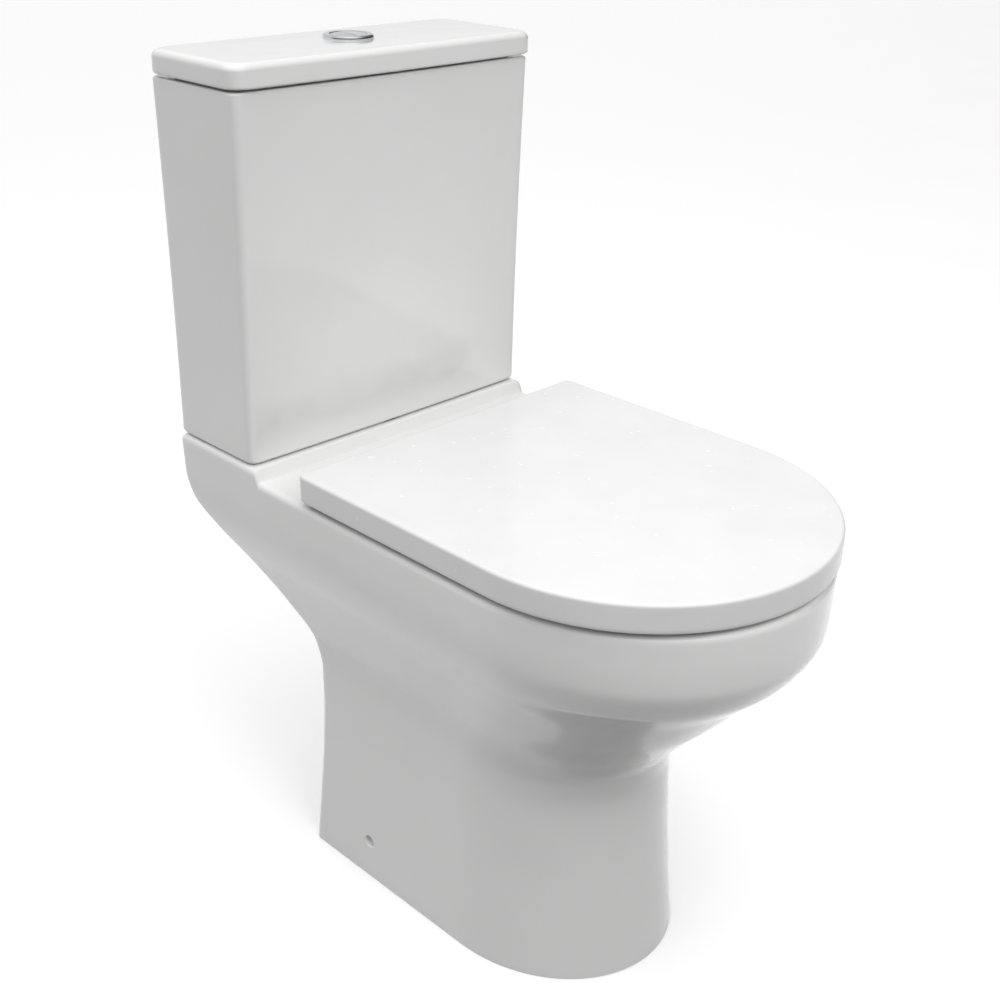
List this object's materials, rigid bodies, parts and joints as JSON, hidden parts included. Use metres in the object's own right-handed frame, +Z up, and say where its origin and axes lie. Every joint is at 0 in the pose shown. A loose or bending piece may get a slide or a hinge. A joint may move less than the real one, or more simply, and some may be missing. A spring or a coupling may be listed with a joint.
{
  "type": "close coupled toilet",
  "caption": "White close coupled toilet: D-shaped pan on a pedestal foot, slim cistern with dual flush button, wrap-over soft-close seat and cover.",
  "frame": {"origin": "on the floor, midway between the wall and the front of the pan, on the middle line", "axes": "+Z up; -Y towards the front of the toilet, +Y towards the wall; +X to the right of someone facing the toilet"},
  "size_m": [0.36, 0.62, 0.839],
  "materials": {
    "china": "white glaze, high gloss",
    "cistern_china": "white glaze, high gloss",
    "cover_white": "white moulded duroplast, satin gloss",
    "seat_white": "white moulded duroplast, gloss",
    "button_chrome": "polished",
    "steel": "stainless",
    "brass": "turned",
    "valve_plastic": "moulded, off-white",
    "valve_blue": "moulded, blue",
    "valve_red": "moulded, red",
    "nut_plastic": "moulded nylon",
    "black_rubber": "moulded",
    "bumper_rubber": "translucent white"
  },
  "bodies": {
    "root": {"pan_deck": "china", "pan_bowl": "china", "pan_trapway": "china", "pan_shroud": "china", "cistern_tank": "cistern_china", "hinge_posts": "button_chrome", "hinge_pins": "steel", "hinge_studs": "steel", "hinge_bushes": "black_rubber", "hinge_nuts": "nut_plastic", "flush_valve_washer": "black_rubber", "flush_valve_base": "valve_plastic", "flush_valve_tower": "valve_plastic", "rocker_pins": "steel", "flush_valve_nut": "nut_plastic", "doughnut_washer": "black_rubber", "fill_valve_washer": "black_rubber", "fill_valve_body": "valve_plastic", "inlet_filter": "valve_blue", "fill_valve_nut": "nut_plastic", "fill_valve_head": "valve_blue", "float_lever_pin": "steel", "coupling_bolts": "brass", "coupling_rubber_washers": "black_rubber", "coupling_steel_washers": "steel", "coupling_wing_nuts": "brass"},
    "seat": {"seat_ring": "seat_white", "seat_bumpers": "bumper_rubber"},
    "cover": {"seat_cover": "cover_white", "cover_bumpers": "bumper_rubber"},
    "lid": {"cistern_lid": "cistern_china", "button_bezel": "button_chrome", "bezel_lock_nut": "nut_plastic", "full_flush_spring": "steel", "half_flush_spring": "steel"},
    "full_button": {"full_flush_button": "button_chrome", "full_flush_push_rod": "valve_plastic"},
    "half_button": {"half_flush_button": "button_chrome", "half_flush_push_rod": "valve_plastic"},
    "full_rocker": {"full_flush_rocker": "valve_red"},
    "half_rocker": {"half_flush_rocker": "valve_red"},
    "stem": {"valve_stem": "valve_blue", "valve_seal": "black_rubber"},
    "float": {"fill_valve_float": "valve_plastic", "float_link_rod": "steel"},
    "lever": {"float_lever": "valve_red"}
  },
  "joints": [
    {"name": "seat_hinge", "type": "hinge", "parent": "root", "child": "seat", "pos_m": [0, 0.105, 0.474], "axis": [-1, 0, 0], "range_deg": [0, 95]},
    {"name": "cover_hinge", "type": "hinge", "parent": "seat", "child": "cover", "pos_m": [0, 0.105, 0.474], "axis": [1, 0, 0], "range_deg": [-97, 0]},
    {"name": "cistern_lid_lift", "type": "slide", "parent": "root", "child": "lid", "axis": [0, 0, 1], "range_m": [0, 0.15]},
    {"name": "full_flush_press", "type": "slide", "parent": "lid", "child": "full_button", "axis": [0, 0, -1], "range_m": [0, 0.006], "stiffness_N_per_m": 900, "springref_m": -0.006, "deforming": ["full_flush_spring"]},
    {"name": "half_flush_press", "type": "slide", "parent": "lid", "child": "half_button", "axis": [0, 0, -1], "range_m": [0, 0.006], "stiffness_N_per_m": 900, "springref_m": -0.006, "deforming": ["half_flush_spring"]},
    {"name": "full_rocker_turn", "type": "hinge", "parent": "root", "child": "full_rocker", "pos_m": [0.027, 0.246, 0.7355], "axis": [0, -1, 0], "range_deg": [0, 22]},
    {"name": "half_rocker_turn", "type": "hinge", "parent": "root", "child": "half_rocker", "pos_m": [-0.027, 0.246, 0.7355], "axis": [0, 1, 0], "range_deg": [0, 22]},
    {"name": "valve_stem_lift", "type": "slide", "parent": "root", "child": "stem", "axis": [0, 0, 1], "range_m": [0, 0.006]},
    {"name": "float_drop", "type": "slide", "parent": "root", "child": "float", "axis": [0, 0, -1], "range_m": [0, 0.015]},
    {"name": "float_lever_turn", "type": "hinge", "parent": "root", "child": "lever", "pos_m": [0.117, 0.246, 0.728], "axis": [0, -1, 0], "range_deg": [0, 23]}
  ],
  "couplings": [
    {"joint": "full_rocker_turn", "follows": "full_flush_press", "rad_per_m": 60},
    {"joint": "half_rocker_turn", "follows": "half_flush_press", "rad_per_m": 60},
    {"joint": "valve_stem_lift", "follows": "full_flush_press", "ratio": 0.92},
    {"joint": "float_lever_turn", "follows": "float_drop", "rad_per_m": 25}
  ]
}
